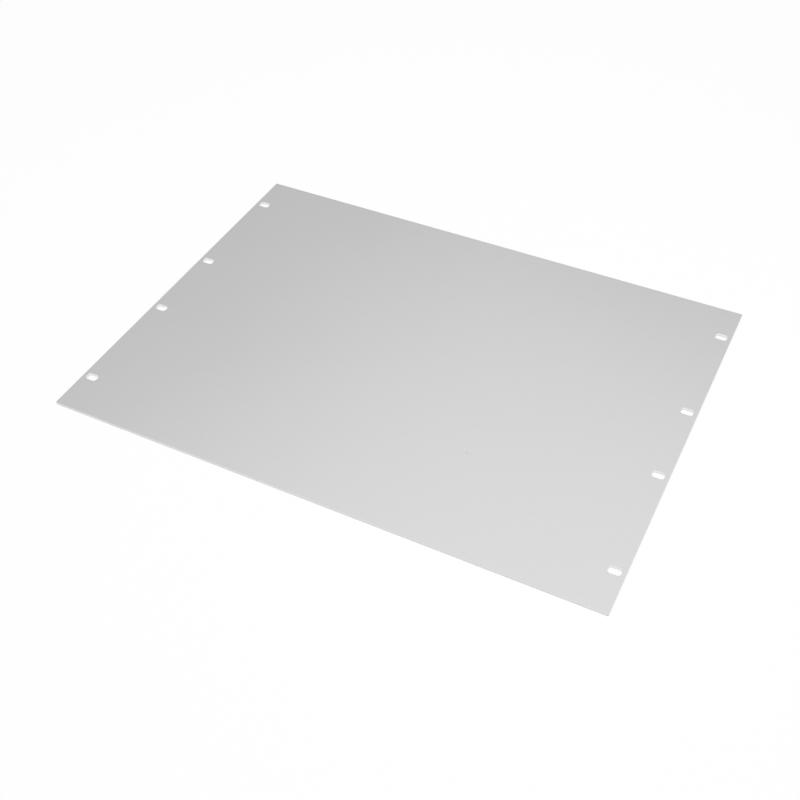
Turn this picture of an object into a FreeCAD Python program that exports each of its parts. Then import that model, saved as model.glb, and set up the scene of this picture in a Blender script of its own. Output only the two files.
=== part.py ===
import FreeCAD, Part
import math
import os
import Sketcher

# Blanking panel for a 19 inch rack, eight height units tall: one flat aluminium sheet
# with four fixing slots down each short side.
#
# Frame, in millimetres: the panel lies on its rear face. The origin is the middle of the
# rear face, +X runs along the width, +Y up the panel's height, +Z out of the front face.

DOCUMENT_NAME = "rack_blanking_panel"
NODE_NAME = "blanking_panel"

# Driving sizes: name, value, meaning
SIZES = [
    ("rack_units", 8, "height units that the panel covers"),
    ("unit_pitch", 44.45, "one height unit"),
    ("stacking_gap", 0.8, "left free in the stack, so that neighbours do not bind"),
    ("panel_width", 482.6, "over both rack posts"),
    ("sheet_thickness", 2.5, "thickness of the sheet"),
    ("corner_radius", 1.0, "the four corners of the outline"),
    ("column_inset", 8.75, "from each short side to the middle of its column of slots"),
    ("end_row_inset", 37.7, "from each end of the panel to the first row of slots"),
    ("rows_per_half", 2, "rows of slots in each half of the height"),
    ("row_spacing", 101.6, "from that first row to the second"),
    ("slot_length", 10.3, "end to end, along the panel's width"),
    ("slot_width", 7.0, "across, clear of a 6 mm screw"),
    ("slot_corner_radius", 2.5, "the four corners of each slot"),
    ("front_edge_round", 0.3, "radius along the outline of the front face"),
    ("rear_edge_break", 0.2, "chamfer along the outline of the rear face"),
    ("slot_front_round", 0.2, "radius round the mouth of each slot in the front face"),
    ("slot_rear_break", 0.15, "chamfer round the mouth of each slot in the rear face"),
]

# Sizes that follow from the driving ones
PANEL_HEIGHT = "(sizes.rack_units * sizes.unit_pitch - sizes.stacking_gap)"
COLUMN = "sizes.panel_width / 2 - sizes.column_inset"
FIRST_ROW = PANEL_HEIGHT + " / 2 - sizes.end_row_inset"

# How a sketch names the points of a line or arc, and its own origin
START, END, CENTRE = 1, 2, 3
ORIGIN = (-1, START)


def make_sheet(document):
    """Spreadsheet of the driving sizes, one row each: name, value, meaning."""
    sheet = document.addObject("Spreadsheet::Sheet", "sizes")
    for row, (name, value, meaning) in enumerate(SIZES, start=1):
        sheet.set("A%d" % row, name)
        sheet.set("B%d" % row, str(value))
        sheet.set("C%d" % row, meaning)
        sheet.setAlias("B%d" % row, name)
    document.recompute()
    return sheet


def origin_feature(body, role):
    """Plane or axis of the body's own origin, such as XY_Plane or Y_Axis."""
    for feature in body.Origin.OriginFeatures:
        if feature.Role == role:
            return feature
    raise ValueError("the origin has no " + role)


def new_sketch(body, name):
    """Empty sketch in the plane of the rear face."""
    sketch = body.newObject("Sketcher::SketchObject", name)
    sketch.AttachmentSupport = [(origin_feature(body, "XY_Plane"), "")]
    sketch.MapMode = "FlatFace"
    return sketch


def relate(sketch, *terms):
    """Add a constraint between parts of a sketch."""
    return sketch.addConstraint(Sketcher.Constraint(*terms))


def measure(sketch, name, expression, *terms):
    """Add a named dimension that follows the driving sizes."""
    value = float(sketch.evalExpression(expression))
    index = relate(sketch, *terms, value)
    sketch.renameConstraint(index, name)
    sketch.setExpression("Constraints." + name, expression)


def draw_blank(body):
    """Outline of the blank: a rectangle centred on the origin."""
    sketch = new_sketch(body, "blank_outline")
    x = float(sketch.evalExpression("sizes.panel_width")) / 2
    y = float(sketch.evalExpression(PANEL_HEIGHT)) / 2
    corners = [(-x, -y), (x, -y), (x, y), (-x, y)]
    points = [FreeCAD.Vector(*corner, 0) for corner in corners]
    for start, end in zip(points, points[1:] + points[:1]):
        sketch.addGeometry(Part.LineSegment(start, end))
    lower, right, upper, left = range(4)
    for side, following in ((lower, right), (right, upper), (upper, left), (left, lower)):
        relate(sketch, "Coincident", side, END, following, START)
    relate(sketch, "Horizontal", lower)
    relate(sketch, "Horizontal", upper)
    relate(sketch, "Vertical", right)
    relate(sketch, "Vertical", left)
    relate(sketch, "Symmetric", lower, START, upper, START, *ORIGIN)
    measure(sketch, "width", "sizes.panel_width", "DistanceX", lower, START, lower, END)
    measure(sketch, "height", PANEL_HEIGHT, "DistanceY", right, START, right, END)
    return sketch


def draw_slot(body):
    """Slot nearest the lower left corner: a rectangle with rounded corners."""
    sketch = new_sketch(body, "slot_outline")
    x = -float(sketch.evalExpression(COLUMN))
    y = -float(sketch.evalExpression(FIRST_ROW))
    radius = float(sketch.evalExpression("sizes.slot_corner_radius"))
    reach = float(sketch.evalExpression("sizes.slot_length")) / 2 - radius
    rise = float(sketch.evalExpression("sizes.slot_width")) / 2 - radius
    middle = FreeCAD.Vector(x, y, 0)
    arcs = []
    for turn, (along, across) in enumerate(((reach, -rise), (reach, rise),
                                            (-reach, rise), (-reach, -rise))):
        centre = middle + FreeCAD.Vector(along, across, 0)
        circle = Part.Circle(centre, FreeCAD.Vector(0, 0, 1), radius)
        arcs.append(Part.ArcOfCircle(circle, (turn - 1) * math.pi / 2, turn * math.pi / 2))
    loop = []
    for arc, following in zip(arcs, arcs[1:] + arcs[:1]):
        loop.append(sketch.addGeometry(arc))
        loop.append(sketch.addGeometry(Part.LineSegment(arc.EndPoint, following.StartPoint)))
    for piece, following in zip(loop, loop[1:] + loop[:1]):
        relate(sketch, "Tangent", piece, END, following, START)
    lower_right, right, upper_right, upper, upper_left, left, lower_left, lower = loop
    for side in (lower, upper):
        relate(sketch, "Horizontal", side)
    for side in (left, right):
        relate(sketch, "Vertical", side)
    for corner in (upper_right, upper_left, lower_left):
        relate(sketch, "Equal", lower_right, corner)
    place = sketch.addGeometry(Part.Point(middle), True)
    relate(sketch, "Symmetric", lower_left, CENTRE, upper_right, CENTRE, place, START)
    measure(sketch, "corner", "sizes.slot_corner_radius", "Radius", lower_right)
    measure(sketch, "length", "sizes.slot_length", "DistanceX", left, START, right, START)
    measure(sketch, "width", "sizes.slot_width", "DistanceY", lower, START, upper, START)
    measure(sketch, "column", COLUMN, "DistanceX", place, START, *ORIGIN)
    measure(sketch, "row", FIRST_ROW, "DistanceY", place, START, *ORIGIN)
    return sketch


def add_feature(body, kind, name):
    """Add a feature to the end of the body."""
    feature = body.newObject("PartDesign::" + kind, name)
    body.Tip = feature
    return feature


def pad_blank(body):
    """Sheet of the full thickness, its front face up."""
    outline = draw_blank(body)
    blank = add_feature(body, "Pad", "blank")
    blank.Profile = outline
    blank.setExpression("Length", "sizes.sheet_thickness")
    body.Document.recompute()
    return blank


def cut_slots(body):
    """One slot cut through the sheet, then repeated to the eight places of two rack posts."""
    outline = draw_slot(body)
    slot = add_feature(body, "Pocket", "corner_slot")
    slot.Profile = outline
    slot.Type = "ThroughAll"
    slot.Reversed = True
    slots = add_feature(body, "MultiTransform", "slots")
    second_row = body.newObject("PartDesign::LinearPattern", "second_row")
    second_row.Direction = (origin_feature(body, "Y_Axis"), [""])
    second_row.Mode = "Spacing"
    second_row.setExpression("Offset", "sizes.row_spacing")
    second_row.setExpression("Occurrences", "sizes.rows_per_half")
    upper_half = body.newObject("PartDesign::Mirrored", "upper_half")
    upper_half.MirrorPlane = (origin_feature(body, "XZ_Plane"), [""])
    right_column = body.newObject("PartDesign::Mirrored", "right_column")
    right_column.MirrorPlane = (origin_feature(body, "YZ_Plane"), [""])
    slots.Originals = [slot]
    slots.Transformations = [second_row, upper_half, right_column]
    body.Tip = slots
    body.Document.recompute()
    return slots


def front_face(shape):
    """The flat face that looks out of the rack."""
    return max(shape.Faces, key=lambda face: face.CenterOfMass.z)


def rear_face(shape):
    """The flat face that lies against the posts."""
    return min(shape.Faces, key=lambda face: face.CenterOfMass.z)


def edge_names(shape, chosen):
    """Names in a shape of the edges in a list."""
    return ["Edge%d" % number for number, edge in enumerate(shape.Edges, start=1)
            if any(edge.isSame(other) for other in chosen)]


def corner_edges(shape):
    """The four edges of the blank that run through its thickness."""
    level = front_face(shape).Edges + rear_face(shape).Edges
    through = [edge for edge in shape.Edges if not any(edge.isSame(other) for other in level)]
    return edge_names(shape, through)


def outline_edges(shape, face):
    """The edges round the outside of a flat face."""
    return edge_names(shape, face.OuterWire.Edges)


def mouth_edges(shape, face):
    """The edges round the slots in a flat face."""
    mouths = [wire for wire in face.Wires if not wire.isSame(face.OuterWire)]
    return edge_names(shape, [edge for wire in mouths for edge in wire.Edges])


def round_edges(body, name, edges, size):
    """Give some edges of the body a radius."""
    base = body.Tip
    feature = add_feature(body, "Fillet", name)
    feature.Base = (base, edges)
    feature.setExpression("Radius", size)
    body.Document.recompute()


def chamfer_edges(body, name, edges, size):
    """Break some edges of the body with a narrow chamfer."""
    base = body.Tip
    feature = add_feature(body, "Chamfer", name)
    feature.Base = (base, edges)
    feature.setExpression("Size", size)
    body.Document.recompute()


def dress_edges(body):
    """Round the edges that a hand meets in front, and take the burr off those behind."""
    shape = body.Shape
    edges = outline_edges(shape, front_face(shape))
    round_edges(body, "front_outline", edges, "sizes.front_edge_round")
    shape = body.Shape
    edges = mouth_edges(shape, front_face(shape))
    round_edges(body, "front_mouths", edges, "sizes.slot_front_round")
    shape = body.Shape
    edges = outline_edges(shape, rear_face(shape))
    chamfer_edges(body, "rear_outline", edges, "sizes.rear_edge_break")
    shape = body.Shape
    edges = mouth_edges(shape, rear_face(shape))
    chamfer_edges(body, "rear_mouths", edges, "sizes.slot_rear_break")


def make_panel(document):
    """The panel, in the order that a shop makes it: blank, slots, then its edges."""
    body = document.addObject("PartDesign::Body", NODE_NAME)
    body.Label = NODE_NAME
    pad_blank(body)
    round_edges(body, "corners", corner_edges(body.Shape), "sizes.corner_radius")
    cut_slots(body)
    dress_edges(body)
    body.Placement = FreeCAD.Placement()
    return body


def check(document, body):
    """Stop if a feature failed, or the slots did not cut through the whole sheet."""
    for item in document.Objects:
        if "Invalid" in item.State or "Error" in item.State:
            raise RuntimeError(item.Name + " failed: " + str(item.State))
    if body.Shape.isNull() or not body.Shape.isValid() or len(body.Shape.Solids) != 1:
        raise RuntimeError(body.Label + " is not one valid solid")
    slot_area = Part.Face(document.slot_outline.Shape.Wires[0]).Area
    slot_count = len(rear_face(body.Shape).Wires) - 1
    expected = slot_count * slot_area * document.sizes.sheet_thickness
    cut = document.corners.Shape.Volume - document.slots.Shape.Volume
    if not math.isclose(cut, expected, rel_tol=1e-6):
        raise RuntimeError("%d slots cut %.3f mm3, not %.3f" % (slot_count, cut, expected))


def main():
    document = FreeCAD.newDocument(DOCUMENT_NAME)
    make_sheet(document)
    panel = make_panel(document)
    document.recompute()
    check(document, panel)
    os.makedirs("parts", exist_ok=True)
    panel.Shape.exportStep(os.path.join("parts", panel.Label + ".step"))
    box = panel.Shape.optimalBoundingBox()
    print("%s: %.2f x %.2f x %.2f mm, %.1f mm3"
          % (panel.Label, box.XLength, box.YLength, box.ZLength, panel.Shape.Volume))


main()
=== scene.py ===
import math
import bpy
from mathutils import Matrix, Vector


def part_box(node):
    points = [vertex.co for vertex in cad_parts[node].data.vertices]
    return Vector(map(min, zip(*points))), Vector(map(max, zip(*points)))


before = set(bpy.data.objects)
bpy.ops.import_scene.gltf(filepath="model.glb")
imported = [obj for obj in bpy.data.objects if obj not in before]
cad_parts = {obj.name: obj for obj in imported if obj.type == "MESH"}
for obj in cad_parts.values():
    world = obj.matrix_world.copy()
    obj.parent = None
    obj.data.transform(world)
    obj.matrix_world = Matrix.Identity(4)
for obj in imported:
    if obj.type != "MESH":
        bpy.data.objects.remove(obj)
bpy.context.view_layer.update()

PANEL = "blanking_panel"

# Lengths are in metres
SHEET_LOW, SHEET_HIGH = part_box(PANEL)
THICKNESS = SHEET_HIGH.z - SHEET_LOW.z

# Camera, fitted to the outline of the panel in the photograph
CAMERA_PLACE = Vector((0.3290, -0.6458, 0.6640))
CAMERA_AIM = Vector((0.0159, -0.0511, 0.0025))
CAMERA_ROLL = math.radians(-1.453)
CAMERA_LENS = 51.324
CAMERA_SENSOR = 36.0

# Light and floor
SOFTBOX_PLACE = Vector((0.076, -0.029, 0.342))
SOFTBOX_AIM = Vector((0.0, 0.0, 0.0))
SOFTBOX_SIZE = 0.95
SOFTBOX_POWER = 1.70
ROOM_LEVEL = 0.62
FLOOR_SIZE = 12.0
FLOOR_GLOW = 0.95

# Colours, as light values from 0 to 1
ANODISED = (0.505, 0.505, 0.505)
PUNCHED = (0.85, 0.85, 0.85)
# Long sheared edges: darker as painted shade, for less light falling on them
SHEARED_PAINTED_SHADE = (0.75, 0.75, 0.75)
FLOOR = (0.92, 0.92, 0.92)
WHITE = (1.0, 1.0, 1.0)

# Etched and anodised faces: even grain, faint rolling streaks and fainter clouds. A tone is
# how much lighter or darker each makes the metal. A wall turns into a face between the two
# levels of FACING, where 1 looks straight out of the sheet and 0 along it.
FACE_ROUGHNESS = 0.512
FACING = (0.55, 0.95)
GRAIN_SIZE = 0.00022
GRAIN_TONE = 0.025
GRAIN_DEPTH = 0.000004
STREAK_STRETCH = 60.0
STREAK_TONE = 0.015
STREAK_SHARE = 0.6
CLOUD_SIZE = 0.11
CLOUD_TONE = 0.008
CLOUD_ROUGHNESS = 0.015

# Cut walls: punch and shear leave a smooth striped band in front and a torn one behind.
# The slots and short edges are punched and come out brighter. The long edges are sheared,
# and their darker colour is painted shade, for less light falling on them.
SMOOTH_ROUGHNESS = 0.36
TORN_ROUGHNESS = 0.62
STRIPE_SIZE = 0.00016
STRIPE_SQUEEZE = 0.03
STRIPE_TONES = (0.94, 1.05)
STRIPE_DEPTH = 0.000006
TORN_BAND = 0.32 * THICKNESS
TORN_WANDER = 0.0002
TORN_BLUR = 0.4 * TORN_WANDER
TORN_TONE = 0.9
WANDERS_PER_METRE = 600.0
CRUMBLE_SIZE = 0.00012
CRUMBLE_SHARE = 2.0
# Where the long edges begin, which take the painted shade
LONG_EDGE = SHEET_HIGH.y
EDGE_DEPTH = 0.0012

# The part of a noise's range that is used on the faces and on the cut walls, and its detail
FACE_NOISE = (0.25, 0.75)
WALL_NOISE = (0.3, 0.7)
PLAIN_DETAIL = 2.0
RICH_DETAIL = 3.0

# Small long mark on the front face, where the photograph shows it
MARK_PLACE = Vector((0.0902, -0.0813, THICKNESS))
MARK_HALF_LENGTH = 0.0016
MARK_HALF_WIDTH = 0.0008
MARK_TURN = math.radians(26.0)
MARK_CORE = 0.3
MARK_DARKNESS = 0.27


def opaque(colour):
    """A colour with its alpha, as a socket takes it."""
    return (*colour, 1.0)


def feed(tree, socket, value):
    """Link an input to another socket, or set it to a constant."""
    if isinstance(value, bpy.types.NodeSocket):
        tree.links.new(value, socket)
    else:
        socket.default_value = value


def add(tree, kind, inputs=None, **settings):
    """Add a node with its settings and feed its inputs."""
    node = tree.nodes.new(kind)
    for name, value in settings.items():
        setattr(node, name, value)
    for key, value in (inputs or {}).items():
        feed(tree, node.inputs[key], value)
    return node


def calculate(tree, operation, first, second=0.0):
    """Result of a sum on two numbers."""
    return add(tree, "ShaderNodeMath", {0: first, 1: second}, operation=operation).outputs[0]


def step_between(tree, value, low, high, at_low=0.0, at_high=1.0):
    """Smooth step of a value from one level to another."""
    inputs = {0: value, 1: low, 2: high, 3: at_low, 4: at_high}
    return add(tree, "ShaderNodeMapRange", inputs, interpolation_type="SMOOTHSTEP").outputs[0]


def change_over(tree, amount, first, second):
    """First number where the amount is 0, second where it is 1."""
    inputs = {0: amount, 2: first, 3: second}
    return add(tree, "ShaderNodeMix", inputs, data_type="FLOAT").outputs[0]


def change_colour(tree, amount, first, second):
    """First colour where the amount is 0, second where it is 1."""
    inputs = {0: amount, 6: first, 7: second}
    return add(tree, "ShaderNodeMix", inputs, data_type="RGBA").outputs[2]


def shade_colour(tree, colour, tone):
    """A colour multiplied by a tone."""
    inputs = {0: 1.0, 6: colour, 7: tone}
    return add(tree, "ShaderNodeMix", inputs, data_type="RGBA", blend_type="MULTIPLY").outputs[2]


def tone_swing(tree, value, swing):
    """Tone that noise takes as far below 1 as above it."""
    return step_between(tree, value, *FACE_NOISE, 1.0 - swing, 1.0 + swing)


def noise(tree, position, scale, detail):
    """Noise with a number of features per metre."""
    inputs = {"Vector": position, "Scale": scale, "Detail": detail}
    return add(tree, "ShaderNodeTexNoise", inputs).outputs[0]


def squeeze(tree, position, scale):
    """Coordinates multiplied by an amount along each axis."""
    return add(tree, "ShaderNodeMapping", {"Vector": position, "Scale": scale}).outputs[0]


def new_group(name, sizes, results):
    """Node group that reads a position and some sizes, and puts out numbers."""
    tree = bpy.data.node_groups.new(name, "ShaderNodeTree")
    tree.interface.new_socket("Position", in_out="INPUT", socket_type="NodeSocketVector")
    for label, value in sizes.items():
        socket = tree.interface.new_socket(label, in_out="INPUT", socket_type="NodeSocketFloat")
        socket.default_value = value
    for label in results:
        tree.interface.new_socket(label, in_out="OUTPUT", socket_type="NodeSocketFloat")
    return tree, add(tree, "NodeGroupInput").outputs, add(tree, "NodeGroupOutput").inputs


def etched_grain():
    """Group: the even, fine grain that etching leaves on rolled sheet."""
    tree, given, result = new_group(
        "etched_grain", {"Grain Size": GRAIN_SIZE}, ("Tone", "Roughness", "Height"))
    position = given["Position"]
    per_metre = calculate(tree, "DIVIDE", 1.0, given["Grain Size"])
    rolled = squeeze(tree, position, (1.0 / STREAK_STRETCH, 1.0, 1.0))
    grain = noise(tree, position, per_metre, PLAIN_DETAIL)
    streaks = noise(tree, rolled, per_metre, RICH_DETAIL)
    clouds = noise(tree, position, 1.0 / CLOUD_SIZE, RICH_DETAIL)
    tone = calculate(tree, "MULTIPLY", tone_swing(tree, grain, GRAIN_TONE),
                     tone_swing(tree, streaks, STREAK_TONE))
    tone = calculate(tree, "MULTIPLY", tone, tone_swing(tree, clouds, CLOUD_TONE))
    feed(tree, result["Tone"], tone)
    feed(tree, result["Roughness"],
         step_between(tree, clouds, *FACE_NOISE, -CLOUD_ROUGHNESS, CLOUD_ROUGHNESS))
    faint_streaks = calculate(tree, "MULTIPLY", streaks, STREAK_SHARE)
    feed(tree, result["Height"], calculate(tree, "ADD", grain, faint_streaks))
    return tree


def cut_wall():
    """Group: a wall left by a punch or a shear, striped in front and torn behind."""
    tree, given, result = new_group(
        "cut_wall", {"Stripe Size": STRIPE_SIZE}, ("Tone", "Torn", "Height"))
    position = given["Position"]
    per_metre = calculate(tree, "DIVIDE", 1.0, given["Stripe Size"])
    stripes = noise(tree, squeeze(tree, position, (1.0, 1.0, STRIPE_SQUEEZE)),
                    per_metre, PLAIN_DETAIL)
    crumble = noise(tree, position, 1.0 / CRUMBLE_SIZE, RICH_DETAIL)
    wander = noise(tree, squeeze(tree, position, (1.0, 1.0, 0.0)),
                   WANDERS_PER_METRE, PLAIN_DETAIL)
    limit = step_between(tree, wander, *WALL_NOISE,
                         TORN_BAND - TORN_WANDER, TORN_BAND + TORN_WANDER)
    level = add(tree, "ShaderNodeSeparateXYZ", {0: position}).outputs["Z"]
    depth = calculate(tree, "SUBTRACT", limit, level)
    torn = step_between(tree, depth, -TORN_BLUR, TORN_BLUR)
    feed(tree, result["Torn"], torn)
    stripe_tone = step_between(tree, stripes, *WALL_NOISE, *STRIPE_TONES)
    torn_tone = change_over(tree, torn, 1.0, TORN_TONE)
    feed(tree, result["Tone"], calculate(tree, "MULTIPLY", stripe_tone, torn_tone))
    crumbled = calculate(tree, "MULTIPLY", crumble, torn)
    crumbled = calculate(tree, "MULTIPLY", crumbled, CRUMBLE_SHARE)
    feed(tree, result["Height"], calculate(tree, "ADD", stripes, crumbled))
    return tree


def dull_mark(tree, position):
    """How much a small long mark darkens the sheet: nothing away from it, most at its middle."""
    inputs = {"Vector": position, "Location": MARK_PLACE, "Rotation": (0.0, 0.0, MARK_TURN),
              "Scale": (MARK_HALF_LENGTH, MARK_HALF_WIDTH, MARK_HALF_WIDTH)}
    along = add(tree, "ShaderNodeMapping", inputs, vector_type="TEXTURE").outputs[0]
    distance = add(tree, "ShaderNodeVectorMath", {0: along}, operation="LENGTH").outputs["Value"]
    return step_between(tree, distance, MARK_CORE, 1.0, MARK_DARKNESS, 0.0)


def face_finish(tree, position):
    """Colour, roughness and height of the etched and anodised faces."""
    inputs = {"Position": position, "Grain Size": GRAIN_SIZE}
    grain = add(tree, "ShaderNodeGroup", inputs, node_tree=etched_grain()).outputs
    clean = calculate(tree, "SUBTRACT", 1.0, dull_mark(tree, position))
    tone = calculate(tree, "MULTIPLY", grain["Tone"], clean)
    colour = shade_colour(tree, opaque(ANODISED), tone)
    roughness = calculate(tree, "ADD", grain["Roughness"], FACE_ROUGHNESS)
    height = calculate(tree, "MULTIPLY", grain["Height"], GRAIN_DEPTH)
    return colour, roughness, height


def cut_finish(tree, position):
    """Colour, roughness and height of the punched and sheared walls, with painted shade on the
    long edges.
    """
    inputs = {"Position": position, "Stripe Size": STRIPE_SIZE}
    cut = add(tree, "ShaderNodeGroup", inputs, node_tree=cut_wall()).outputs
    across = add(tree, "ShaderNodeSeparateXYZ", {0: position}).outputs["Y"]
    # Painted shade: the long edges take the darker colour
    painted_shade_edge = step_between(tree, calculate(tree, "ABSOLUTE", across),
                           LONG_EDGE - EDGE_DEPTH, LONG_EDGE - 0.5 * EDGE_DEPTH)
    colour = change_colour(tree, painted_shade_edge, opaque(PUNCHED), opaque(SHEARED_PAINTED_SHADE))
    colour = shade_colour(tree, colour, cut["Tone"])
    roughness = change_over(tree, cut["Torn"], SMOOTH_ROUGHNESS, TORN_ROUGHNESS)
    height = calculate(tree, "MULTIPLY", cut["Height"], STRIPE_DEPTH)
    return colour, roughness, height


def anodised_sheet():
    """Clear anodised aluminium: satin faces, brighter cut walls with painted shade on the long
    edges, and one small dull mark.
    """
    material = bpy.data.materials.new("anodised_sheet")
    material.use_nodes = True
    tree = material.node_tree
    shader = tree.nodes["Principled BSDF"]
    where = add(tree, "ShaderNodeTexCoord").outputs
    facing = add(tree, "ShaderNodeSeparateXYZ", {0: where["Normal"]}).outputs["Z"]
    on_face = step_between(tree, calculate(tree, "ABSOLUTE", facing), *FACING)
    face_colour, face_roughness, face_height = face_finish(tree, where["Object"])
    cut_colour, cut_roughness, cut_height = cut_finish(tree, where["Object"])
    colour = change_colour(tree, on_face, cut_colour, face_colour)
    roughness = change_over(tree, on_face, cut_roughness, face_roughness)
    height = change_over(tree, on_face, cut_height, face_height)
    bump = add(tree, "ShaderNodeBump", {"Height": height, "Distance": 1.0})
    feed(tree, shader.inputs["Base Color"], colour)
    feed(tree, shader.inputs["Roughness"], roughness)
    feed(tree, shader.inputs["Normal"], bump.outputs["Normal"])
    shader.inputs["Metallic"].default_value = 1.0
    return material


def seen_directly(tree):
    """1 for what the camera, a mirror or glass sees, 0 for light that spreads."""
    path = add(tree, "ShaderNodeLightPath").outputs
    seen = calculate(tree, "MAXIMUM", path["Is Camera Ray"], path["Is Glossy Ray"])
    return calculate(tree, "MAXIMUM", seen, path["Is Transmission Ray"])


def pale_floor():
    """Pale floor under the panel, seen almost white, that still holds a faint shadow."""
    bpy.ops.object.select_all(action="DESELECT")
    bpy.ops.mesh.primitive_plane_add(size=FLOOR_SIZE, location=(0.0, 0.0, SHEET_LOW.z))
    floor = bpy.context.object
    floor.name = "floor"
    material = bpy.data.materials.new("pale_floor")
    material.use_nodes = True
    tree = material.node_tree
    tree.nodes.clear()
    matt = add(tree, "ShaderNodeBsdfDiffuse", {"Color": opaque(FLOOR)})
    glow = add(tree, "ShaderNodeEmission", {"Color": opaque(WHITE)})
    share = calculate(tree, "MULTIPLY", seen_directly(tree), FLOOR_GLOW)
    mixed = add(tree, "ShaderNodeMixShader", {0: share, 1: matt.outputs[0], 2: glow.outputs[0]})
    add(tree, "ShaderNodeOutputMaterial", {"Surface": mixed.outputs[0]})
    floor.data.materials.append(material)


def pale_room():
    """Even light from all round, white where it is seen."""
    world = bpy.data.worlds.new("pale_room")
    world.use_nodes = True
    tree = world.node_tree
    tree.nodes.clear()
    level = change_over(tree, seen_directly(tree), ROOM_LEVEL, 1.0)
    air = add(tree, "ShaderNodeBackground", {"Color": opaque(WHITE), "Strength": level})
    add(tree, "ShaderNodeOutputWorld", {"Surface": air.outputs[0]})
    bpy.context.scene.world = world


def softbox():
    """One square soft light over the right of the panel."""
    light = bpy.data.lights.new("softbox", "AREA")
    light.shape = "SQUARE"
    light.size = SOFTBOX_SIZE
    light.energy = SOFTBOX_POWER
    lamp = bpy.data.objects.new("softbox", light)
    bpy.context.scene.collection.objects.link(lamp)
    lamp.location = SOFTBOX_PLACE
    lamp.rotation_euler = (SOFTBOX_AIM - SOFTBOX_PLACE).to_track_quat("-Z", "Y").to_euler()
    lamp.visible_camera = False


def camera():
    """Camera at the photograph's view."""
    lens = bpy.data.cameras.new("camera")
    lens.lens = CAMERA_LENS
    lens.sensor_width = CAMERA_SENSOR
    holder = bpy.data.objects.new("camera", lens)
    bpy.context.scene.collection.objects.link(holder)
    sight = (CAMERA_AIM - CAMERA_PLACE).to_track_quat("-Z", "Y").to_matrix().to_4x4()
    roll = Matrix.Rotation(CAMERA_ROLL, 4, "Z")
    holder.matrix_world = Matrix.Translation(CAMERA_PLACE) @ sight @ roll
    bpy.context.scene.camera = holder


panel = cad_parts[PANEL]
panel.material_slots[0].material = anodised_sheet()
pale_floor()
pale_room()
softbox()
camera()
bpy.context.scene.view_settings.view_transform = "Standard"
